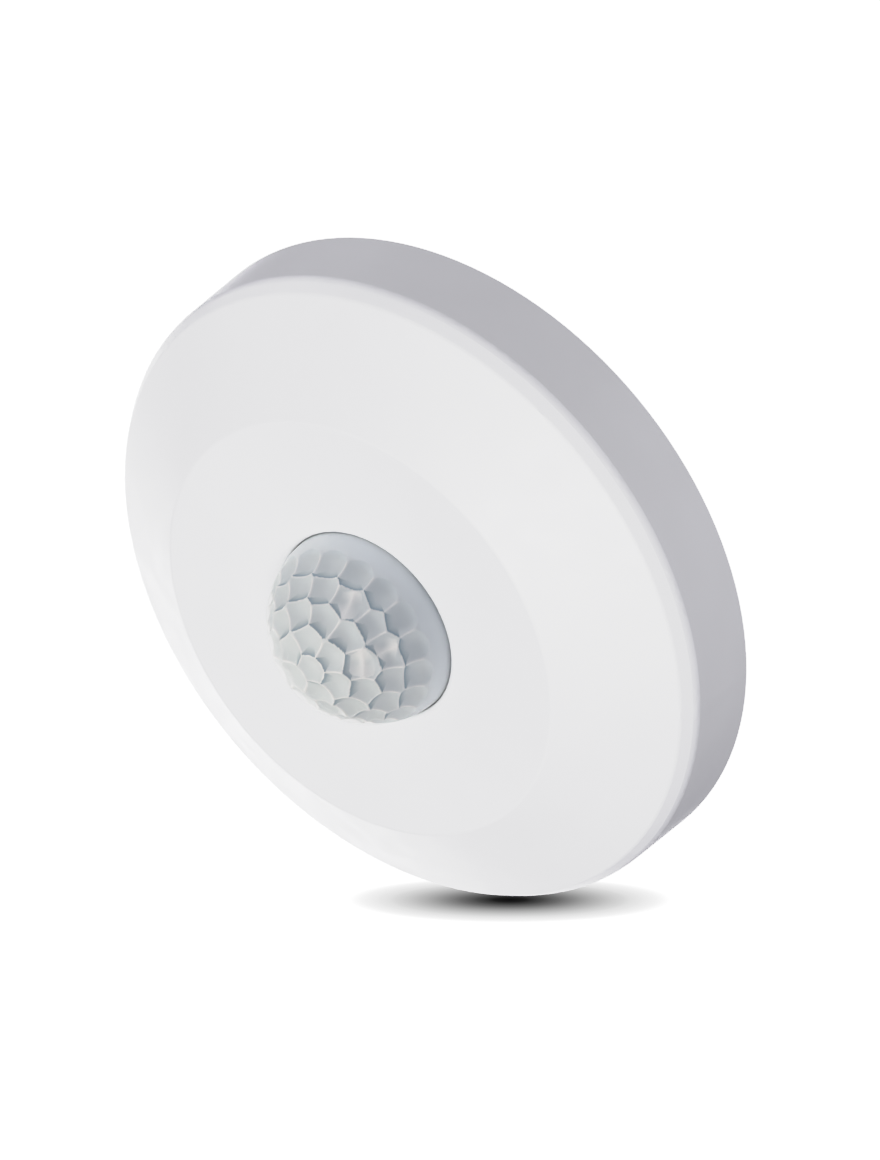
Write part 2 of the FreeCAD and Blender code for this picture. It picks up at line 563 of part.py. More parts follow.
def chip_legs():
    """Gull-wing legs: out of the body, down, and a foot on the board."""
    side, under = CHIP_WIDTH / 2, CHIP_LEG_TOP - CHIP_LEG_THICKNESS
    outer, toe, foot = side + CHIP_LEG_KNEE, side + CHIP_LEG_REACH, BOARD_TOP + CHIP_LEG_THICKNESS
    inner = outer - CHIP_LEG_THICKNESS
    outline = [(side, CHIP_LEG_TOP), (outer, CHIP_LEG_TOP), (outer, foot), (toe, foot),
               (toe, BOARD_TOP), (inner, BOARD_TOP), (inner, under), (side, under)]
    leg = extruded(outline, CHIP_LEG_WIDTH)
    first = -(CHIP_LEGS_A_SIDE - 1) * CHIP_LEG_PITCH / 2
    row = [moved(leg, 0, first + index * CHIP_LEG_PITCH) for index in range(CHIP_LEGS_A_SIDE)]
    legs = row + [rotated(leg_in_row, 180) for leg_in_row in row]
    return Part.makeCompound([place(one, SPOTS["controller_chip"]) for one in legs])


def chip_resistors():
    body = box_on(*SURFACE_PART_SIZE, BOARD_TOP, BOARD_TOP + RESISTOR_HEIGHT)
    return Part.makeCompound([place(body, spot) for spot in RESISTOR_SPOTS])


def chip_ceramics():
    body = rounded_box(*SURFACE_PART_SIZE, BOARD_TOP, BOARD_TOP + CERAMIC_HEIGHT, CERAMIC_ROUND)
    return Part.makeCompound([place(body, spot) for spot in CERAMIC_SPOTS])


# ---- terminal block --------------------------------------------------------------------------------------

CAVITY_LOW, CAVITY_HIGH = CAGE_LOW - CAGE_CLEARANCE, CAGE_HIGH + CAGE_TRAVEL + CAGE_CLEARANCE
POCKET_FLOOR = CAVITY_HIGH + 0.3
HEAD_LOW = POCKET_FLOOR + TERMINAL_HEAD_CLEARANCE
HEAD_HIGH = HEAD_LOW + TERMINAL_HEAD
SHANK_LOW = BAR_HIGH + BAR_CLEARANCE
WIRE_HALF_WIDTH, WIRE_LOW, WIRE_HIGH = 2.0, 9.6, 13.2


def terminal_cavity():
    """One pole's hollow: the cage's well, the wire's mouth, the bar's slot and the screw's shaft."""
    width, depth = CAGE_HALF_WIDTH + CAGE_CLEARANCE, CAGE_HALF_DEPTH + CAGE_CLEARANCE
    well = block((-width, width), (CAGE_Y - depth, CAGE_Y + depth), (CAVITY_LOW, CAVITY_HIGH))
    mouth = block((-WIRE_HALF_WIDTH, WIRE_HALF_WIDTH), (TERMINAL_FRONT - PAST, CAGE_Y), (WIRE_LOW, WIRE_HIGH))
    slot_width = BAR_HALF_WIDTH + CAGE_CLEARANCE
    slot = block((-slot_width, slot_width), (CAGE_Y, BAR_LEG_BACK + BAR_CLEARANCE),
                 (BOARD_TOP - PAST, BAR_HIGH + 2 * BAR_CLEARANCE))
    shaft = cylinder(TERMINAL_SCREW_RADIUS + RUNNING_GAP, CAGE_HIGH, TERMINAL_TOP, 0, CAGE_Y)
    pocket = cylinder(TERMINAL_HEAD_RADIUS + RUNNING_GAP, POCKET_FLOOR, TERMINAL_TOP + PAST, 0, CAGE_Y)
    return well.multiFuse([mouth, slot, shaft, pocket])


def terminal_block():
    half = POLE_PITCH * len(POLE_NAMES) / 2
    body = block((-half, half), (TERMINAL_FRONT, TERMINAL_BACK), (BOARD_TOP, TERMINAL_TOP))
    cavities = [moved(terminal_cavity(), x, 0) for x in pole_centres().values()]
    return body.cut(Part.makeCompound(cavities))


def terminal_bars():
    """Three fixed contact bars, each with a leg down to the board and a pin through it."""
    front = CAGE_Y - CAGE_HALF_DEPTH
    bars = []
    for x, (pin_x, pin_y) in zip(pole_centres().values(), bar_pin_points()):
        sides = (x - BAR_HALF_WIDTH, x + BAR_HALF_WIDTH)
        bar = block(sides, (front, BAR_LEG_BACK), (BAR_LOW, BAR_HIGH))
        leg = block(sides, (BAR_LEG_FRONT, BAR_LEG_BACK), (BOARD_TOP, BAR_LOW))
        pin = cylinder(LEAD_RADIUS, LEAD_END, BOARD_TOP, pin_x, pin_y)
        bars.append(bar.multiFuse([leg, pin]).removeSplitter())
    return Part.makeCompound(bars)


def terminal_cage(x):
    outer = block((x - CAGE_HALF_WIDTH, x + CAGE_HALF_WIDTH),
                  (CAGE_Y - CAGE_HALF_DEPTH, CAGE_Y + CAGE_HALF_DEPTH), (CAGE_LOW, CAGE_HIGH))
    inside = CAGE_HALF_WIDTH - CAGE_WALL
    tunnel = block((x - inside, x + inside),
                   (CAGE_Y - CAGE_HALF_DEPTH - PAST, CAGE_Y + CAGE_HALF_DEPTH + PAST),
                   (CAGE_LOW + CAGE_WALL, CAGE_HIGH - CAGE_CROWN))
    thread = cylinder(TERMINAL_SCREW_RADIUS + RUNNING_GAP, CAGE_HIGH - CAGE_CROWN - PAST, CAGE_HIGH + PAST,
                      x, CAGE_Y)
    return outer.cut(tunnel).cut(thread)


def terminal_screw(x):
    shank = cylinder(TERMINAL_SCREW_RADIUS, SHANK_LOW, HEAD_LOW)
    head = cylinder(TERMINAL_HEAD_RADIUS, HEAD_LOW, HEAD_HIGH)
    head = head.makeFillet(TERMINAL_HEAD_ROUND, ring_edges(head, TERMINAL_HEAD_RADIUS, HEAD_HIGH))
    slot_floor, cross_floor = HEAD_HIGH - TERMINAL_SLOT_DEPTH, HEAD_HIGH - TERMINAL_CROSS_DEPTH
    slot = box_on(2 * TERMINAL_HEAD_RADIUS + PAST, TERMINAL_SLOT_WIDTH, slot_floor, HEAD_HIGH + PAST)
    cross = cross_recess(TERMINAL_CROSS_REACH, cross_floor, HEAD_HIGH + PAST, TERMINAL_SLOT_WIDTH)
    return moved(shank.fuse(head).cut(slot).cut(cross), x, CAGE_Y)


# ---- motion sensor, light sensor, indicator --------------------------------------------------------------

def sensor_holder():
    """A hollow spacer that lifts the motion sensor to the lens's centre."""
    body = cone(HOLDER_FOOT_RADIUS, HOLDER_TOP_RADIUS, BOARD_TOP, HOLDER_TOP)
    lip = cylinder(HOLDER_TOP_RADIUS, HOLDER_TOP, HOLDER_TOP + HOLDER_LIP).cut(
        cylinder(PIR_FLANGE_RADIUS + RUNNING_GAP, HOLDER_TOP - PAST, HOLDER_TOP + PAST))
    bore = cylinder(HOLDER_BORE_RADIUS, BOARD_TOP - PAST, HOLDER_TOP - HOLDER_ROOF)
    hole_low, hole_high = HOLDER_TOP - 2 * PAST, HOLDER_TOP + PAST
    holes = [cylinder(LEAD_HOLE, hole_low, hole_high, x, y) for x, y in pir_lead_points()]
    return body.fuse(lip).cut(Part.makeCompound([bore] + holes)).removeSplitter()


PIR_WINDOW_SIZE, PIR_WINDOW_DEPTH = (5.0, 3.8), 0.35


def pir_can():
    flange_top, top = HOLDER_TOP + PIR_FLANGE_THICKNESS, HOLDER_TOP + PIR_HEIGHT
    flange = cylinder(PIR_FLANGE_RADIUS, HOLDER_TOP, flange_top)
    can = cylinder(PIR_CAN_RADIUS, flange_top, top)
    can = can.makeFillet(PIR_CAN_ROUND, ring_edges(can, PIR_CAN_RADIUS, top))
    recess = box_on(*PIR_WINDOW_SIZE, top - PIR_WINDOW_DEPTH, top + PAST)
    return can.fuse(flange).cut(recess)


def pir_window():
    top = HOLDER_TOP + PIR_HEIGHT
    return box_on(*PIR_WINDOW_SIZE, top - PIR_WINDOW_DEPTH, top)


def pir_leads():
    return Part.makeCompound(straight_leads(pir_lead_points(), HOLDER_TOP))


def light_sensor():
    """A disc with two flats."""
    low, half_width = LIGHT_SENSOR_LOW, LIGHT_SENSOR_RADIUS + PAST
    disc = cylinder(LIGHT_SENSOR_RADIUS, low, low + LIGHT_SENSOR_THICKNESS)
    between_flats = block((-half_width, half_width), (-LIGHT_SENSOR_FLAT, LIGHT_SENSOR_FLAT),
                          (low - PAST, low + LIGHT_SENSOR_THICKNESS + PAST))
    return place(disc.common(between_flats), SPOTS["light_sensor"])


def light_sensor_leads():
    return Part.makeCompound(straight_leads(lead_points("light_sensor"), LIGHT_SENSOR_LOW))


INDICATOR_RADIUS, INDICATOR_COLLAR_RADIUS, INDICATOR_COLLAR, INDICATOR_BODY = 1.5, 1.9, 0.8, 3.2


def indicator_light():
    low, collar_top, top = INDICATOR_LOW, INDICATOR_LOW + INDICATOR_COLLAR, INDICATOR_LOW + INDICATOR_BODY
    body = turned([(0, low), (INDICATOR_COLLAR_RADIUS, low), (INDICATOR_COLLAR_RADIUS, collar_top),
                   (INDICATOR_RADIUS, collar_top), (INDICATOR_RADIUS, top), (0, top)])
    tip = Part.makeSphere(INDICATOR_RADIUS, Vector(0, 0, top), UP, 0, 90, 360)
    return place(body.fuse(tip).removeSplitter(), SPOTS["indicator_light"])


def indicator_leads():
    return Part.makeCompound(straight_leads(lead_points("indicator_light"), INDICATOR_LOW))


# ---- trimmers and knobs ----------------------------------------------------------------------------------

FLUTES, FLUTE_RADIUS, FLUTE_CENTRE = 18, 0.45, 4.335
KNOB_SLOT_LENGTH, KNOB_SLOT_WIDTH, KNOB_SLOT_DEPTH = 5.4, 0.9, 1.2
ARROW_TIP, ARROW_BACK, ARROW_HALF_WIDTH = 3.0, 0.7, 1.5


def trimmer(name):
    body = rounded_box(TRIMMER_SIDE, TRIMMER_SIDE, BOARD_TOP, TRIMMER_TOP, TRIMMER_ROUND)
    bore = cylinder(KNOB_SHAFT + RUNNING_GAP, BOARD_TOP + TRIMMER_BORE_FLOOR, TRIMMER_TOP + PAST)
    return place(body.cut(bore), SPOTS[name])


def knob(name):
    """A fluted knob on a shaft, with an arrow-shaped slot in its top."""
    shaft = cylinder(KNOB_SHAFT, BOARD_TOP + TRIMMER_BORE_FLOOR + KNOB_SHAFT_GAP, KNOB_LOW)
    head = cylinder(KNOB_RADIUS, KNOB_LOW, KNOB_TOP)
    head = head.makeFillet(KNOB_ROUND, ring_edges(head, KNOB_RADIUS, KNOB_TOP))
    flute = cylinder(FLUTE_RADIUS, KNOB_LOW - PAST, KNOB_TOP + PAST, FLUTE_CENTRE)
    flutes = around(flute, [index * 360 / FLUTES for index in range(FLUTES)])
    slot_floor = KNOB_TOP - KNOB_SLOT_DEPTH
    slot = box_on(KNOB_SLOT_LENGTH, KNOB_SLOT_WIDTH, slot_floor, KNOB_TOP + PAST)
    corners = [Vector(ARROW_BACK, ARROW_HALF_WIDTH, slot_floor), Vector(ARROW_TIP, 0, slot_floor),
               Vector(ARROW_BACK, -ARROW_HALF_WIDTH, slot_floor)]
    arrow = Part.Face(Part.makePolygon(corners + corners[:1])).extrude(Vector(0, 0, KNOB_SLOT_DEPTH + PAST))
    return place(shaft.fuse(head).cut(Part.makeCompound(flutes)).cut(slot).cut(arrow), SPOTS[name])


# ---- the assembly ----------------------------------------------------------------------------------------

def terminal_nodes():
    nodes = {}
    for name, x in pole_centres().items():
        nodes[name + "_terminal_screw"] = terminal_screw(x)
        nodes[name + "_terminal_cage"] = terminal_cage(x)
    return nodes


def all_nodes():
    makers = (front_cover, dome_lens, lens_retainer, mounting_base, circuit_board, board_screws,
              component_leads, solder_joints, relay, film_capacitor, smoothing_capacitor, timing_capacitors,
              varistor, fuse_resistor, rectifier_diodes, voltage_regulator, relay_transistor,
              controller_chip, chip_legs, chip_resistors, chip_ceramics, terminal_block, terminal_bars,
              sensor_holder, pir_can, pir_window, pir_leads, light_sensor, light_sensor_leads,
              indicator_light, indicator_leads)
    nodes = {maker.__name__: maker() for maker in makers}
    for kind in ("time", "light"):
        nodes[kind + "_trimmer"] = trimmer(kind + "_trimmer")
        nodes[kind + "_knob"] = knob(kind + "_trimmer")
    nodes.update(terminal_nodes())
    return nodes


def face_the_room(shape):
    """Turn a piece from the bench to its place on the wall."""
    shape.rotate(ORIGIN, Vector(1, 0, 0), 90)
    return shape


os.makedirs("parts", exist_ok=True)
for node_name, node_shape in all_nodes().items():
    face_the_room(node_shape).exportStep("parts/" + node_name + ".step")
    print(node_name, len(node_shape.Solids), "solids", node_shape.isValid(), round(node_shape.Volume, 1))
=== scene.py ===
"""The looks of a round motion sensor: its lens, its materials, the small moulded details and the studio."""

import json
import math

import bmesh
import bpy
import numpy as np
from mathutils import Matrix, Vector


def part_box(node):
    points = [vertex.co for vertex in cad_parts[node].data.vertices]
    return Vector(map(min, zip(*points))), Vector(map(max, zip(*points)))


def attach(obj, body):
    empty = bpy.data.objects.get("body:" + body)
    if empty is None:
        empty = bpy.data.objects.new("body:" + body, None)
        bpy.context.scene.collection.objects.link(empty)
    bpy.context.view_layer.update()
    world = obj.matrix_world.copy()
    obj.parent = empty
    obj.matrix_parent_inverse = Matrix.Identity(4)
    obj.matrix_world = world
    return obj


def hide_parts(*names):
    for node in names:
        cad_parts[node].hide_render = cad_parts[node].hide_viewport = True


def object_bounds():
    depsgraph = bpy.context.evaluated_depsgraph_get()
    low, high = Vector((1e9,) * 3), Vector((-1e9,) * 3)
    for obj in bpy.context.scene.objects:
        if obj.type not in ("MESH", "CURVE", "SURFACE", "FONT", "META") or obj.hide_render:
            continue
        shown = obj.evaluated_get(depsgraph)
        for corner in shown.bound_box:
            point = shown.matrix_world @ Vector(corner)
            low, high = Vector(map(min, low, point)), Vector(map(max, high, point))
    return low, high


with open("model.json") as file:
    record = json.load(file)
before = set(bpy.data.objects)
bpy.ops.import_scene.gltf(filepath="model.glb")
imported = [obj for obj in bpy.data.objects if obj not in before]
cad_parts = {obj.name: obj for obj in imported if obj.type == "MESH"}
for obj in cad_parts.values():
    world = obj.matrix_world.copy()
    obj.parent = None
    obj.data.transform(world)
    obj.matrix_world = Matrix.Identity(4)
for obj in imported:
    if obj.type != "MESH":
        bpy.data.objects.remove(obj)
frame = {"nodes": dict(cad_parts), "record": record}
nodes = frame["nodes"]
cad_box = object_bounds()

MM = 0.001
MERGE_DISTANCE = 1e-7                   # points nearer than this become one


# ---- meshes ---------------------------------------------------------------------------------------------

def add_mesh(name, points, faces, smooth=True):
    """A new object from points and faces, with the faces turned outwards."""
    mesh = bpy.data.meshes.new(name)
    mesh.from_pydata([tuple(p) for p in points], [], faces)
    work = bmesh.new()
    work.from_mesh(mesh)
    bmesh.ops.remove_doubles(work, verts=work.verts, dist=MERGE_DISTANCE)
    bmesh.ops.recalc_face_normals(work, faces=work.faces)
    work.to_mesh(mesh)
    work.free()
    mesh.polygons.foreach_set("use_smooth", [smooth] * len(mesh.polygons))
    piece = bpy.data.objects.new(name, mesh)
    bpy.context.scene.collection.objects.link(piece)
    return piece


def lathe_rings(radius_and_y, segments):
    """Points of circles about the Y axis, one circle for each (radius, y)."""
    turn = np.linspace(0, 2 * math.pi, segments, endpoint=False)
    rings = []
    for radius, y in radius_and_y:
        rings.append(np.stack([radius * np.cos(turn), np.full(segments, y), radius * np.sin(turn)], -1))
    return np.concatenate(rings)


def ring_faces(ring_count, segments, closed=False):
    """Quads between neighbouring rings, and from the last ring to the first if closed."""
    faces = []
    for ring in range(ring_count if closed else ring_count - 1):
        below, above = ring * segments, (ring + 1) % ring_count * segments
        for k in range(segments):
            after = (k + 1) % segments
            faces.append((below + k, below + after, above + after, above + k))
    return faces


# ---- materials ------------------------------------------------------------------------------------------

# the part of a noise's range that the colours and the gloss are spread over
COLOR_RANGE, GLOSS_RANGE = (0.35, 0.65), (0.3, 0.7)
MIX_A, MIX_B, MIX_RESULT = 6, 7, 2      # a Mix node's sockets for colours


def shader_inputs(made):
    return made.node_tree.nodes["Principled BSDF"].inputs


def new_material(name, color, roughness, **sockets):
    """A Principled material; sockets are named inputs of the shader, such as metallic."""
    made = bpy.data.materials.new(name)
    made.use_nodes = True
    shader_inputs(made)["Base Color"].default_value = (*color, 1)
    shader_inputs(made)["Roughness"].default_value = roughness
    for key, value in sockets.items():
        shader_inputs(made)[key.replace("_", " ").title().replace("Ior", "IOR")].default_value = value
    return made


def node(made, kind, **settings):
    """A new node; each setting is the value of one of its sockets, or else a property of the node."""
    added = made.node_tree.nodes.new(kind)
    for key, value in settings.items():
        if key in added.inputs:
            added.inputs[key].default_value = value
        else:
            setattr(added, key, value)
    return added


def link(made, source, target):
    made.node_tree.links.new(source, target)


def noise(made, scale, detail=3.0, roughness=0.55):
    """Noise in the part's own space, in which one unit is a metre."""
    place = node(made, "ShaderNodeTexCoord")
    pattern = node(made, "ShaderNodeTexNoise", Scale=scale, Detail=detail, Roughness=roughness)
    link(made, place.outputs["Object"], pattern.inputs["Vector"])
    return pattern


def map_range(made, value, old, new, target, **settings):
    """Send a value to a target socket, mapped from its old range to a new one."""
    ranged = node(made, "ShaderNodeMapRange", **settings)
    for key, end in zip(("From Min", "From Max", "To Min", "To Max"), (*old, *new)):
        ranged.inputs[key].default_value = end
    link(made, value, ranged.inputs["Value"])
    link(made, ranged.outputs["Result"], target)


def ramp(made, value, tones, target):
    """Send a value to a target socket as a colour, by tones of (value, colour) in rising order."""
    ramped = node(made, "ShaderNodeValToRGB")
    stops = ramped.color_ramp.elements
    for place, _ in tones[1:-1]:
        stops.new(place)
    for stop, (place, color) in zip(stops, tones):
        stop.position, stop.color = place, (*color, 1)
    link(made, value, ramped.inputs["Fac"])
    link(made, ramped.outputs["Color"], target)


def vary_color(made, pattern, *colors):
    """Blend the base colour between two colours over a pattern."""
    ramp(made, pattern.outputs["Fac"], tuple(zip(COLOR_RANGE, colors)), shader_inputs(made)["Base Color"])


def vary_roughness(made, pattern, *ends):
    """Vary the roughness between two values over a pattern."""
    map_range(made, pattern.outputs["Fac"], GLOSS_RANGE, ends, shader_inputs(made)["Roughness"])


def bump(made, pattern, depth):
    """Raise the surface by up to depth metres over a pattern."""
    raised = node(made, "ShaderNodeBump", Strength=1.0, Distance=depth)
    link(made, pattern.outputs["Fac"], raised.inputs["Height"])
    link(made, raised.outputs["Normal"], shader_inputs(made)["Normal"])


def shades(color, factors):
    """The colour multiplied by each of the factors."""
    return (tuple(min(1.0, channel * factor) for channel in color) for factor in factors)


# noise scales of a plastic's colour, gloss and grain, and how much each varies
PLASTIC_CLOUDS, PLASTIC_SMEARS, PLASTIC_GRAIN = 60.0, 220.0, 2500.0
PLASTIC_SHADES, PLASTIC_SMEAR, PLASTIC_GRAIN_DEPTH = (0.985, 1.005), 0.06, 6e-6
PLASTIC_ROUGHNESS = 0.45
# the same for a metal, whose roughness is multiplied
METAL_CLOUDS, METAL_SMEARS, METAL_GRAIN = 400.0, 900.0, 2700.0
METAL_SHADES, METAL_SMEAR, METAL_GRAIN_DEPTH = (0.9, 1.06), (0.7, 1.4), 3e-6


def moulded(name, color, roughness, grain=PLASTIC_GRAIN, depth=PLASTIC_GRAIN_DEPTH):
    """Moulded plastic: a fine sparked grain, and faint flow clouds in the colour and in the gloss."""
    made = new_material(name, color, roughness)
    vary_color(made, noise(made, PLASTIC_CLOUDS, detail=2.0), *shades(color, PLASTIC_SHADES))
    vary_roughness(made, noise(made, PLASTIC_SMEARS, detail=4.0),
                   roughness - PLASTIC_SMEAR, roughness + PLASTIC_SMEAR)
    bump(made, noise(made, grain, detail=2.0), depth)
    return made


def metal(name, color, roughness):
    """Plain or plated metal: fine grain, smears in its gloss, and a little tarnish in its colour."""
    made = new_material(name, color, roughness, metallic=1.0)
    vary_color(made, noise(made, METAL_CLOUDS), *shades(color, METAL_SHADES))
    vary_roughness(made, noise(made, METAL_SMEARS, detail=5.0), *(roughness * share for share in METAL_SMEAR))
    bump(made, noise(made, METAL_GRAIN, detail=2.0), METAL_GRAIN_DEPTH)
    return made


COLORS = {
    "cover_plastic": (0.81, 0.81, 0.81),
    "base_plastic": (0.78, 0.78, 0.77),
    "retainer_plastic": (0.76, 0.77, 0.76),
    "holder_plastic": (0.78, 0.78, 0.75),
    "knob_plastic": (0.80, 0.79, 0.76),
    "relay_plastic": (0.03, 0.10, 0.33),
    "film_plastic": (0.74, 0.52, 0.05),
    "can_sleeve": (0.015, 0.018, 0.03),
    "varistor_coating": (0.03, 0.14, 0.45),
    "fuse_coating": (0.20, 0.36, 0.30),
    "black_epoxy": (0.018, 0.018, 0.02),
    "chip_body": (0.03, 0.03, 0.035),
    "ceramic_body": (0.46, 0.33, 0.20),
    "terminal_plastic": (0.05, 0.27, 0.14),
    "photocell_ceramic": (0.60, 0.28, 0.14),
    "led_epoxy": (0.60, 0.03, 0.02),
    "trimmer_plastic": (0.03, 0.13, 0.42),
    "board_laminate": (0.52, 0.36, 0.13),
    "steel": (0.62, 0.62, 0.63),
    "tinned_metal": (0.76, 0.76, 0.74),
    "brass": (0.80, 0.60, 0.28),
    "can_metal": (0.72, 0.70, 0.66),
    "filter_window": (0.16, 0.14, 0.18),
}
ROUGHNESS = {"relay_plastic": 0.35, "film_plastic": 0.3, "can_sleeve": 0.28, "varistor_coating": 0.25,
             "led_epoxy": 0.2, "fuse_coating": 0.55, "black_epoxy": 0.5, "ceramic_body": 0.6}
METALS = {"steel": 0.3, "tinned_metal": 0.35, "brass": 0.28, "can_metal": 0.25, "filter_window": 0.12}


def slot_material(slot_name):
    color = COLORS[slot_name]
    if slot_name in METALS:
        return metal(slot_name, color, METALS[slot_name])
    return moulded(slot_name, color, ROUGHNESS.get(slot_name, PLASTIC_ROUGHNESS))


def add_bands(made, axis, centres, half_width, color):
    """Colour bands across an axis of the part, each round one of the centres."""
    base = shader_inputs(made)["Base Color"]
    place = node(made, "ShaderNodeTexCoord")
    parts = node(made, "ShaderNodeSeparateXYZ")
    link(made, place.outputs["Object"], parts.inputs["Vector"])
    for centre in centres:
        inside = node(made, "ShaderNodeMath", operation="COMPARE")
        inside.inputs[1].default_value, inside.inputs[2].default_value = centre, half_width
        link(made, parts.outputs[axis], inside.inputs[0])
        blend = node(made, "ShaderNodeMix", data_type="RGBA")
        blend.inputs[MIX_B].default_value = (*color, 1)
        link(made, inside.outputs[0], blend.inputs["Factor"])
        link(made, base.links[0].from_socket, blend.inputs[MIX_A])
        link(made, blend.outputs[MIX_RESULT], base)


slot_materials = {}
for row in frame["record"]["subparts"]:
    slot_name = row["material_slot"]
    if slot_name == "lens_plastic":
        continue
    if slot_name not in slot_materials:
        slot_materials[slot_name] = slot_material(slot_name)
    nodes[row["node"]].data.materials.clear()
    nodes[row["node"]].data.materials.append(slot_materials[slot_name])


# ---- details on the board -------------------------------------------------------------------------------

SILVER, BRIGHT_CAN, SLEEVE_STRIPE = (0.55, 0.55, 0.55), (0.60, 0.60, 0.61), (0.42, 0.43, 0.45)
BROWN, BLACK, GOLD = (0.16, 0.06, 0.02), (0.02, 0.02, 0.02), (0.50, 0.34, 0.08)
# node, then for each colour: the axis, the bands' centres, half of a band's width in mm, and the colour
BANDED_NODES = (
    ("rectifier_diodes", (("Z", (-3.0, 7.6), 0.35, SILVER),)),
    ("fuse_resistor", (("X", (-16.1, -13.9), 0.3, BROWN), ("X", (-15.0,), 0.3, BLACK),
                       ("X", (-12.2,), 0.3, GOLD))),
    ("smoothing_capacitor", (("X", (-3.7,), 0.9, SLEEVE_STRIPE), ("Y", (-20.6,), 0.25, BRIGHT_CAN))),
    ("timing_capacitors", (("Y", (-15.1,), 0.2, BRIGHT_CAN),)),
)
# the outlines printed on the board, in mm and degrees
PRINT_WIDTH, PRINT_THICKNESS = 0.25, 0.03
# boxes: x, z, turn, width, length
PRINTED_BOXES = ((-24.51, 14.15, 150, 10.6, 18.7), (-26.92, -7.72, 196, 9.2, 18.7),
                 (27.53, -7.38, -15, 5.2, 10.6), (25.37, 9.23, 20, 10.4, 10.4),
                 (15.49, 22.12, 55, 10.4, 10.4), (15.5, -2.0, 0, 8.0, 11.0), (-14.0, -12.5, 0, 7.2, 3.8),
                 (-15.0, -4.6, 90, 6.0, 3.4), (-11.0, -4.6, 90, 6.0, 3.4),
                 (-15.0, 6.0, 90, 6.0, 3.4), (-11.0, 6.0, 90, 6.0, 3.4))
# rings: x, z, radius
PRINTED_RINGS = ((0.99, 28.48, 5.6), (10.8, 6.2, 2.9), (16.5, 8.2, 2.9), (0.0, 0.0, 7.6), (7.5, -9.0, 2.4),
                 (2.0, 12.3, 3.0))
RING_POINTS = 48
INK_COLOR, INK_ROUGHNESS, INK_GRAIN, INK_GRAIN_DEPTH = (0.74, 0.74, 0.70), 0.6, 5000.0, 2e-6


def box_corners(x, z, turn, width, length):
    """The corners of a turned box, with its width along the turn."""
    ahead = np.array([math.cos(math.radians(turn)), math.sin(math.radians(turn))])
    aside = np.array([-ahead[1], ahead[0]])
    return [np.array([x, z]) + along * ahead * width / 2 + across * aside * length / 2
            for along, across in ((1, 1), (-1, 1), (-1, -1), (1, -1))]


def printed_loop(outer, inner, board_y):
    """Points and faces of a thin raised line between two closed paths on the board."""
    points = []
    for out, into in zip(outer, inner):
        for (x, z), lift in ((out, 0), (out, PRINT_THICKNESS), (into, PRINT_THICKNESS), (into, 0)):
            points.append((x * MM, board_y - lift * MM, z * MM))
    return points, ring_faces(len(outer), 4, closed=True)


def board_print():
    """The white outlines that show where each component goes."""
    board_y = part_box("circuit_board")[0].y
    loops = [(box_corners(*box), box_corners(*box[:3], *(side - 2 * PRINT_WIDTH for side in box[3:])))
             for box in PRINTED_BOXES]
    turn = np.linspace(0, 2 * math.pi, RING_POINTS, endpoint=False)
    circle = np.stack([np.cos(turn), np.sin(turn)], -1)
    for x, z, radius in PRINTED_RINGS:
        loops.append(tuple((x, z) + circle * size for size in (radius, radius - PRINT_WIDTH)))
    points, faces = [], []
    for outer, inner in loops:
        more_points, more_faces = printed_loop(outer, inner, board_y)
        faces += [tuple(len(points) + corner for corner in face) for face in more_faces]
        points += more_points
    lines = add_mesh("board_print", points, faces, smooth=False)
    lines.data.materials.append(moulded("board_ink", INK_COLOR, INK_ROUGHNESS, INK_GRAIN, INK_GRAIN_DEPTH))
    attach(lines, "base")


for node_name, bands in BANDED_NODES:
    banded = nodes[node_name].data.materials[0].copy()
    for axis, centres, half_width, color in bands:
        add_bands(banded, axis, [centre * MM for centre in centres], half_width * MM, color)
    nodes[node_name].data.materials[0] = banded
board_print()


# ---- the lens -------------------------------------------------------------------------------------------

DOME_RADIUS, BODY_INNER_RADIUS = 17.0 * MM, 14.7 * MM
FLANGE_THICKNESS = 1.2 * MM
# rings of facets: how many, their angle from the axis, and the turn of the first one, in degrees
FACET_RINGS = ((1, 0.0, 0.0), (6, 17.5, 42.0), (11, 33.5, 52.5), (15, 49.0, 0.0), (18, 63.5, 0.0))
# facets that a crease splits in two: ring and number, then the angle and turn of each half's centre
CREASED_FACETS = (((3, 3), (50.0, 67.7), (48.1, 76.5)),
                  ((3, 1), (49.4, 19.5), (48.8, 28.6)),
                  ((2, 10), (30.5, 21.0), (36.5, 18.7)))
FACET_RADIUS = 16.88 * MM               # of the sphere that the facets are sunk into
FACET_DEPTH = 1.5 * MM
FACET_REACH = 3.1 * MM                  # how far from its deepest point a lone facet would run
FACET_LEAN = 0.2 * MM                   # how far that point is from the facet's centre
STEP_SOFTNESS = 0.9 * MM ** 2           # how gently one facet passes into the next
SAME_RING = math.radians(7)             # centres nearer in angle than this are in one ring
COLLAR_START, COLLAR_END = 68.0, 76.0   # the angles between which the body swells to the full radius
SKIN_THICKNESS, SKIN_END = 0.06 * MM, 74.0
APEX_ANGLE, EQUATOR = 0.25, 90.0        # the angles from the axis of the body's first and last ring
LENS_SEGMENTS = 600
OUTER_STEPS, INNER_STEPS, SKIN_STEPS = 170, 28, 85      # rings of points on each of the lens's surfaces
MARKING_BATCHES = 170                      # parts that the body's points are worked through in, to save memory

# how milky the plastic is, from 0 to 1, with painted shade lowering it to 0 at the foot of a step and a
# painted highlight raising it on creases and, with whiter thick plastic, on ridges; and its colour at the
# foot of a step, in a bowl, and on a ridge
BOWL_MILK, COLLAR_MILK = 0.5, 0.62
LENS_TONES = ((0.0, (0.15, 0.26, 0.34)), (BOWL_MILK, (0.59, 0.64, 0.67)), (1.0, (0.86, 0.86, 0.855)))
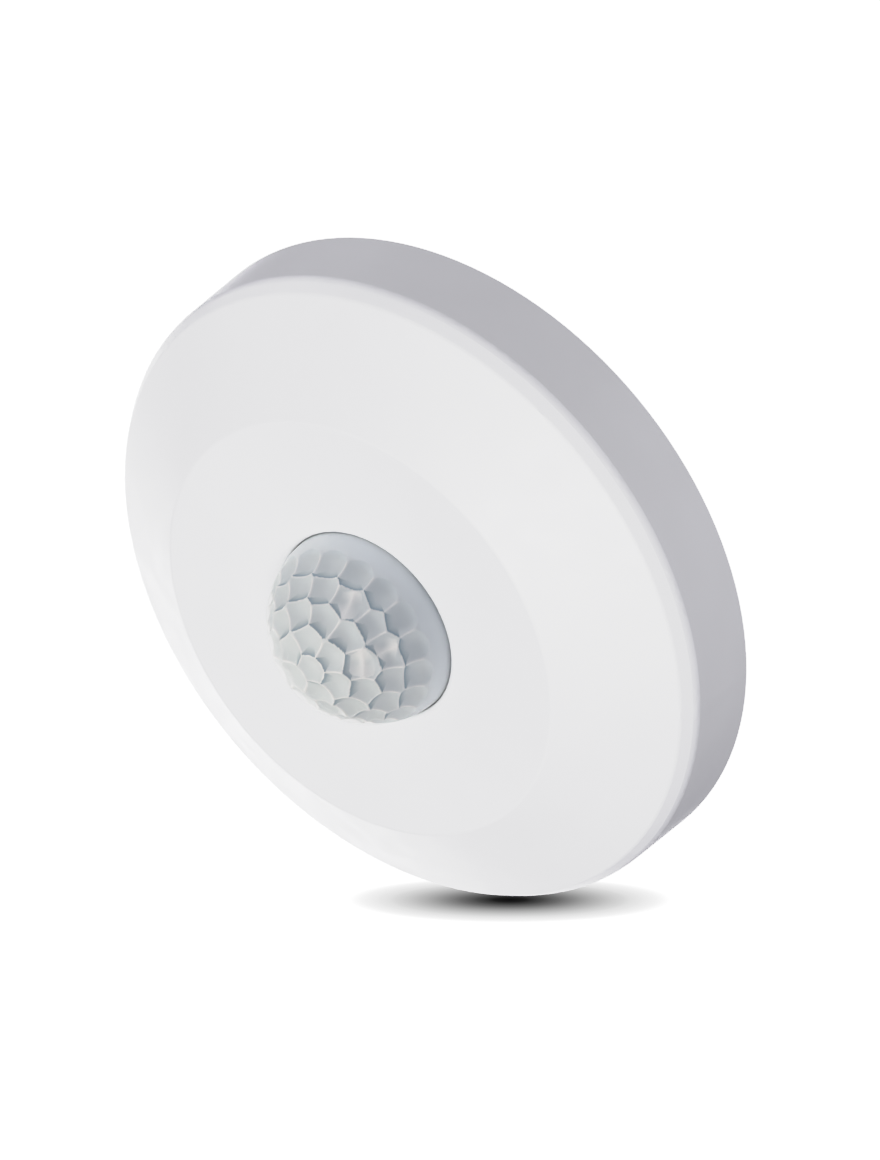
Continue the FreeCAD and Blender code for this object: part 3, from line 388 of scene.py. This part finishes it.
# how wide a ridge's band (whiter plastic, partly a painted highlight), a crease's painted highlight and the
# painted shade at the foot of a step are, and how fast that painted shade fades
RIDGE_WIDTH, CREASE_WIDTH, FOOT_WIDTH, FOOT_FADE = 0.6 * MM, 2.2 * MM, 3.4 * MM, 1.5
VEIL_ALPHA, VEIL_FADE = 0.10, 66.0      # how much the skin hides of the facets, and where it starts to fade
# noise scales of the gloss and the grain of the facets and of the skin, with their depths in metres
FACET_SMEARS, FACET_GRAIN, FACET_GRAIN_DEPTH = 400.0, 1400.0, 3e-6
SKIN_SMEARS, SKIN_GRAIN, SKIN_GRAIN_DEPTH = 300.0, 900.0, 2e-6
FACET_ROUGHNESS, FACET_GLOSS = 0.5, (0.44, 0.56)
SKIN_COLOR, SKIN_ROUGHNESS, SKIN_GLOSS = (0.90, 0.90, 0.88), 0.34, (0.30, 0.40)


def sphere_directions(from_axis, turn):
    """Unit vectors at these angles from the lens's axis, -Y, and round it from +X towards +Z."""
    aside = np.sin(from_axis)
    return np.stack([aside * np.cos(turn), -np.cos(from_axis), aside * np.sin(turn)], -1)


def facet_places():
    """The angle from the axis and the turn of each facet's or half's centre, and whose centre it is."""
    halves = {facet: pair for facet, *pair in CREASED_FACETS}
    places, owners = [], []
    for ring, (count, angle, first) in enumerate(FACET_RINGS):
        for number in range(count):
            centres = halves.get((ring, number), [(angle, first + number * 360 / count)])
            places += centres
            owners += [(ring, number)] * len(centres)
    return *np.radians(places).T, np.array(owners)


def facet_hollow(directions):
    """How far below the plain sphere the surface lies, and how milky the plastic is there, with painted shade
    at the steps and painted highlights on ridges and creases.

    Each facet is a bowl that is deepest near its inner side, so there is a small step between two rings.
    """
    from_axis, turn, owners = facet_places()
    lean = np.minimum(FACET_LEAN / FACET_RADIUS, from_axis)
    centres, deepest = sphere_directions(from_axis, turn), sphere_directions(from_axis - lean, turn)
    gaps, falls = (np.linalg.norm(directions[:, None, :] - points[None, :, :], axis=2) * FACET_RADIUS
                   for points in (centres, deepest))
    first, second = np.argsort(gaps, axis=1)[:, :2].T
    rows = np.arange(len(gaps))
    nearest = gaps[rows, first]
    share = np.exp((nearest[:, None] ** 2 - gaps ** 2) / STEP_SOFTNESS)
    bowls = np.maximum(1 - (falls / FACET_REACH) ** 2, 0)
    depth = (share * bowls).sum(axis=1) / share.sum(axis=1)
    margin = gaps[rows, second] - nearest
    # a crease gets a wide band of painted highlight
    creased = (owners[first] == owners[second]).all(axis=1)
    # a ridge's band is whiter where the plastic is thicker, and partly a painted highlight
    ridge = np.clip(1 - margin / np.where(creased, CREASE_WIDTH, RIDGE_WIDTH), 0, 1)
    stepped = from_axis[second] < from_axis[first] - SAME_RING
    # painted shade at the foot of a step, where one ring's bowls drop to the next
    foot = np.clip(1 - margin / FOOT_WIDTH, 0, 1) ** FOOT_FADE * stepped
    milk_and_painted_light = BOWL_MILK + (1 - BOWL_MILK) * ridge * (foot == 0) - BOWL_MILK * foot
    return FACET_DEPTH * depth, np.where(depth > 0, milk_and_painted_light, COLLAR_MILK)


def smooth_step(value, low, high):
    share = min(max((value - low) / (high - low), 0), 1)
    return share * share * (3 - 2 * share)


def dome_ring(angle, centre_y, radius, faceted=False):
    """A ring of points on a sphere about the lens's centre, at this angle from the axis in degrees."""
    turn = np.linspace(0, 2 * math.pi, LENS_SEGMENTS, endpoint=False)
    rays = sphere_directions(np.full(LENS_SEGMENTS, math.radians(angle)), turn)
    hollow = facet_hollow(rays)[0] if faceted else np.zeros(LENS_SEGMENTS)
    points = rays * (radius - hollow)[:, None]
    points[:, 1] += centre_y
    return points


def closed_shell(name, rings):
    """A solid of revolution's mesh from rings of points, from an outer apex ring round to an inner one."""
    ring_count = len(rings) // LENS_SEGMENTS
    faces = ring_faces(ring_count, LENS_SEGMENTS)
    last = (ring_count - 1) * LENS_SEGMENTS
    faces.append(tuple(range(LENS_SEGMENTS)))
    faces.append(tuple(range(last, last + LENS_SEGMENTS)))
    return add_mesh(name, rings, faces)


def facet_material():
    """The faceted body of the lens: milky on its ridges, partly a painted highlight, and darker in its bowls
    and most at their steps, where the shade is painted.
    """
    made = new_material("lens_facets", LENS_TONES[1][1], FACET_ROUGHNESS, specular_ior_level=0.25)
    # the tone: milkiness, with painted shade at the steps and painted highlights on ridges and creases
    milk_and_painted_light = node(made, "ShaderNodeAttribute", attribute_name="milk_and_painted_light")
    ramp(made, milk_and_painted_light.outputs["Fac"], LENS_TONES, shader_inputs(made)["Base Color"])
    vary_roughness(made, noise(made, FACET_SMEARS), *FACET_GLOSS)
    bump(made, noise(made, FACET_GRAIN, detail=2.0), FACET_GRAIN_DEPTH)
    return made


def skin_material(full_y, gone_y):
    """The lens's clear skin over the facets, which thins out to nothing where the collar starts."""
    made = new_material("lens_skin", SKIN_COLOR, SKIN_ROUGHNESS, specular_ior_level=0.3)
    vary_roughness(made, noise(made, SKIN_SMEARS), *SKIN_GLOSS)
    bump(made, noise(made, SKIN_GRAIN, detail=2.0), SKIN_GRAIN_DEPTH)
    place = node(made, "ShaderNodeTexCoord")
    parts = node(made, "ShaderNodeSeparateXYZ")
    link(made, place.outputs["Object"], parts.inputs["Vector"])
    map_range(made, parts.outputs["Y"], (full_y, gone_y), (VEIL_ALPHA, 0.0), shader_inputs(made)["Alpha"],
              interpolation_type="SMOOTHSTEP")
    return made


def lens_body(centre_y, flange_radius, back_y):
    """The milky body: facets, a smooth collar, and a flange behind the cover."""
    seat_y = back_y - FLANGE_THICKNESS
    rings = []
    for angle in np.linspace(APEX_ANGLE, EQUATOR, OUTER_STEPS):
        swell = smooth_step(angle, COLLAR_START, COLLAR_END)
        rings.append(dome_ring(angle, centre_y, FACET_RADIUS + swell * (DOME_RADIUS - FACET_RADIUS), True))
    rings.append(lathe_rings([(DOME_RADIUS, seat_y), (flange_radius, seat_y), (flange_radius, back_y),
                              (BODY_INNER_RADIUS, back_y)], LENS_SEGMENTS))
    for angle in np.linspace(EQUATOR, APEX_ANGLE, INNER_STEPS):
        rings.append(dome_ring(angle, centre_y, BODY_INNER_RADIUS))
    body = closed_shell("dome_lens_body", np.concatenate(rings))
    mark_milk_and_painted_light(body, centre_y)
    body.data.materials.append(facet_material())
    return body


def mark_milk_and_painted_light(body, centre_y):
    """Stores on each point of the mesh how milky the plastic is there, with its painted shade and highlights,
    for the material.
    """
    places = np.array([point.co for point in body.data.vertices])
    places[:, 1] -= centre_y
    outwards = places / np.linalg.norm(places, axis=1)[:, None]
    values = np.concatenate([facet_hollow(part)[1] for part in np.array_split(outwards, MARKING_BATCHES)])
    body.data.attributes.new("milk_and_painted_light", "FLOAT", "POINT").data.foreach_set("value", values)


def lens_skin(centre_y):
    """The thin clear skin that closes the facets' hollows, so that the dome is smooth to the touch."""
    rings = []
    for angle in np.linspace(APEX_ANGLE, SKIN_END, SKIN_STEPS):
        rings.append(dome_ring(angle, centre_y, DOME_RADIUS))
    for angle in np.linspace(SKIN_END, APEX_ANGLE, SKIN_STEPS):
        rings.append(dome_ring(angle, centre_y, DOME_RADIUS - SKIN_THICKNESS))
    skin = closed_shell("dome_lens_skin", np.concatenate(rings))
    full_y, gone_y = (centre_y - DOME_RADIUS * math.cos(math.radians(angle))
                      for angle in (VEIL_FADE, SKIN_END))
    skin.data.materials.append(skin_material(full_y, gone_y))
    return skin


def dome_lens():
    low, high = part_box("dome_lens")
    centre_y = low.y + DOME_RADIUS
    pieces = [lens_body(centre_y, high.x, high.y), lens_skin(centre_y)]
    for piece in pieces:
        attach(piece, "cover")
        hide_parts("dome_lens")
    return pieces


lens_pieces = dome_lens()


# ---- camera, light and floor ----------------------------------------------------------------------------

CAMERA_AZIMUTH, CAMERA_ELEVATION, CAMERA_DISTANCE = math.radians(35.8), math.radians(36.1), 3.04
FRAME_HEIGHT = 1160                     # of the photo, in pixels
PIXELS_PER_METRE = 6079.0               # at the middle of the wall face
SENSOR_SIZE = 36.0
FARTHEST_SEEN = 50.0
# how far right of and above the centre of the wall face the middle of the view lies
AIM_RIGHT, AIM_UP = -3.11 * MM, -5.16 * MM

FLOOR_HALF_SIZE, FLOOR_LIGHT = 12.0, 2.1
# the contact shadow: an oval on the floor, as wide as the rim's lowest part
SHADOW_CENTRE = (18.0 * MM, -10.5 * MM)
SHADOW_HALF_SIZE = (27 * MM, 6.3 * MM)
SHADOW_TURN = math.radians(35.8)
# share of the way out from the shadow's centre, and share of the open floor's light there
SHADOW_TONES = ((0.0, 0.002), (0.1, 0.006), (0.2, 0.03), (0.3, 0.07), (0.4, 0.13), (0.5, 0.20), (0.6, 0.265),
                (0.7, 0.32), (0.8, 0.43), (0.9, 0.65), (1.0, 1.0))

SKY_COLOR, SKY_LIGHT, BACKDROP_LIGHT = (0.93, 0.92, 1.05), 0.29, 4.0
WHITE, DAYLIGHT = (1.0, 1.0, 1.0), (1.0, 1.0, 0.99)
WARM_LIGHT, SOFT_WARM_LIGHT, COOL_LIGHT = (1.0, 0.92, 0.76), (1.0, 0.93, 0.86), (0.89, 0.96, 1.0)
# which pieces a lamp lights
EVERYTHING, ALL_BUT_LENS, LENS_ONLY = ([], "EXCLUDE"), (lens_pieces, "EXCLUDE"), (lens_pieces, "INCLUDE")
# lamps: name, the direction that their light comes from, strength, width in degrees, colour, what they light
LAMPS = (
    ("key", (0.33, -0.91, 0.18), 3.0, 50, DAYLIGHT, ALL_BUT_LENS),
    ("table_bounce", (-0.61, 0.35, -0.71), 2.2, 50, WHITE, EVERYTHING),
    ("left_fill", (-0.93, 0.16, 0.34), 0.94, 50, WHITE, ALL_BUT_LENS),
    ("lens_left_key", (-0.50, -0.84, -0.20), 0.84, 14, WARM_LIGHT, LENS_ONLY),
    ("lens_low_key", (-0.05, -0.80, -0.60), 0.84, 14, WARM_LIGHT, LENS_ONLY),
    ("lens_left_fill", (-0.60, -0.50, 0.62), 0.9, 14, SOFT_WARM_LIGHT, LENS_ONLY),
    ("lens_right_fill", (0.62, -0.50, -0.60), 0.5, 14, SOFT_WARM_LIGHT, LENS_ONLY),
    ("lens_fill", (0.35, -0.75, 0.55), 0.60, 150, COOL_LIGHT, LENS_ONLY),
)
# film response: scene light to picture light, with a soft shoulder under white
FILM_CURVE = ((0.0, 0.0), (0.50, 0.50), (0.72, 0.72), (0.91, 0.800), (1.0, 0.822))
COMBINED_CURVE = 3                      # after those of red, green and blue


def add_camera():
    """The photo's view, fitted to the object's outlines in it."""
    back = Vector((math.sin(CAMERA_AZIMUTH) * math.cos(CAMERA_ELEVATION),
                   -math.cos(CAMERA_AZIMUTH) * math.cos(CAMERA_ELEVATION), math.sin(CAMERA_ELEVATION)))
    right = Vector((math.cos(CAMERA_AZIMUTH), math.sin(CAMERA_AZIMUTH), 0))
    data = bpy.data.cameras.new("camera")
    data.sensor_width = SENSOR_SIZE
    data.lens = PIXELS_PER_METRE * CAMERA_DISTANCE / FRAME_HEIGHT * SENSOR_SIZE
    data.clip_end = FARTHEST_SEEN
    camera = bpy.data.objects.new("camera", data)
    bpy.context.scene.collection.objects.link(camera)
    camera.location = right * AIM_RIGHT + back.cross(right) * AIM_UP + back * CAMERA_DISTANCE
    camera.rotation_euler = (-back).to_track_quat("-Z", "Y").to_euler()
    bpy.context.scene.camera = camera


def add_floor():
    """A wide white floor with a soft contact shadow under the rim; it throws no light or shadow itself."""
    low = cad_box[0].z
    corners = [(x * FLOOR_HALF_SIZE, y * FLOOR_HALF_SIZE, low)
               for x, y in ((-1, -1), (1, -1), (1, 1), (-1, 1))]
    floor = add_mesh("floor", corners, [(0, 1, 2, 3)], smooth=False)
    made = new_material("floor", (0, 0, 0), 1.0, specular_ior_level=0.0)
    place = node(made, "ShaderNodeTexCoord")
    oval = node(made, "ShaderNodeMapping", vector_type="TEXTURE")
    oval.inputs["Location"].default_value = (*SHADOW_CENTRE, low)
    oval.inputs["Rotation"].default_value = (0, 0, SHADOW_TURN)
    oval.inputs["Scale"].default_value = (*SHADOW_HALF_SIZE, 1)
    depth = node(made, "ShaderNodeTexGradient", gradient_type="SPHERICAL")
    link(made, place.outputs["Object"], oval.inputs["Vector"])
    link(made, oval.outputs["Vector"], depth.inputs["Vector"])
    tones = [(1 - distance, (light,) * 3) for distance, light in reversed(SHADOW_TONES)]
    ramp(made, depth.outputs["Fac"], tones, shader_inputs(made)["Emission Color"])
    shader_inputs(made)["Emission Strength"].default_value = FLOOR_LIGHT
    floor.data.materials.append(made)
    floor.visible_diffuse = False
    floor.visible_glossy = False
    floor.visible_shadow = False


def add_lamp(name, source, strength, width, color, lit):
    """A soft light from far away, which lights only some pieces, or all but those."""
    receivers, link_state = lit
    data = bpy.data.lights.new(name, "SUN")
    data.energy, data.angle, data.color = strength, math.radians(width), color
    lamp = bpy.data.objects.new(name, data)
    bpy.context.scene.collection.objects.link(lamp)
    lamp.rotation_euler = Vector(source).to_track_quat("Z", "Y").to_euler()
    listed = bpy.data.collections.new(name + "_receivers")
    for receiver in receivers:
        listed.objects.link(receiver)
    for entry in listed.collection_objects:
        entry.light_linking.link_state = link_state
    lamp.light_linking.receiver_collection = listed


def add_world():
    """An even sky that lights the object, and a white backdrop that only the camera sees."""
    world = bpy.data.worlds.new("studio")
    world.use_nodes = True
    tree = world.node_tree
    sky = tree.nodes["Background"]
    sky.inputs["Color"].default_value = (*SKY_COLOR, 1)
    sky.inputs["Strength"].default_value = SKY_LIGHT
    backdrop = tree.nodes.new("ShaderNodeBackground")
    backdrop.inputs["Strength"].default_value = BACKDROP_LIGHT
    seen = tree.nodes.new("ShaderNodeLightPath")
    mix = tree.nodes.new("ShaderNodeMixShader")
    tree.links.new(seen.outputs["Is Camera Ray"], mix.inputs["Fac"])
    tree.links.new(sky.outputs["Background"], mix.inputs[1])
    tree.links.new(backdrop.outputs["Background"], mix.inputs[2])
    tree.links.new(mix.outputs["Shader"], tree.nodes["World Output"].inputs["Surface"])
    bpy.context.scene.world = world


def set_film():
    """The film curve, as the scene's view settings."""
    view = bpy.context.scene.view_settings
    view.view_transform = "Standard"
    view.use_curve_mapping = True
    view.curve_mapping.extend = "EXTRAPOLATED"
    points = view.curve_mapping.curves[COMBINED_CURVE].points
    for x, y in FILM_CURVE[1:-1]:
        points.new(x, y)
    points[-1].location = FILM_CURVE[-1]
    view.curve_mapping.update()


add_camera()
add_floor()
add_world()
for lamp_row in LAMPS:
    add_lamp(*lamp_row)
set_film()
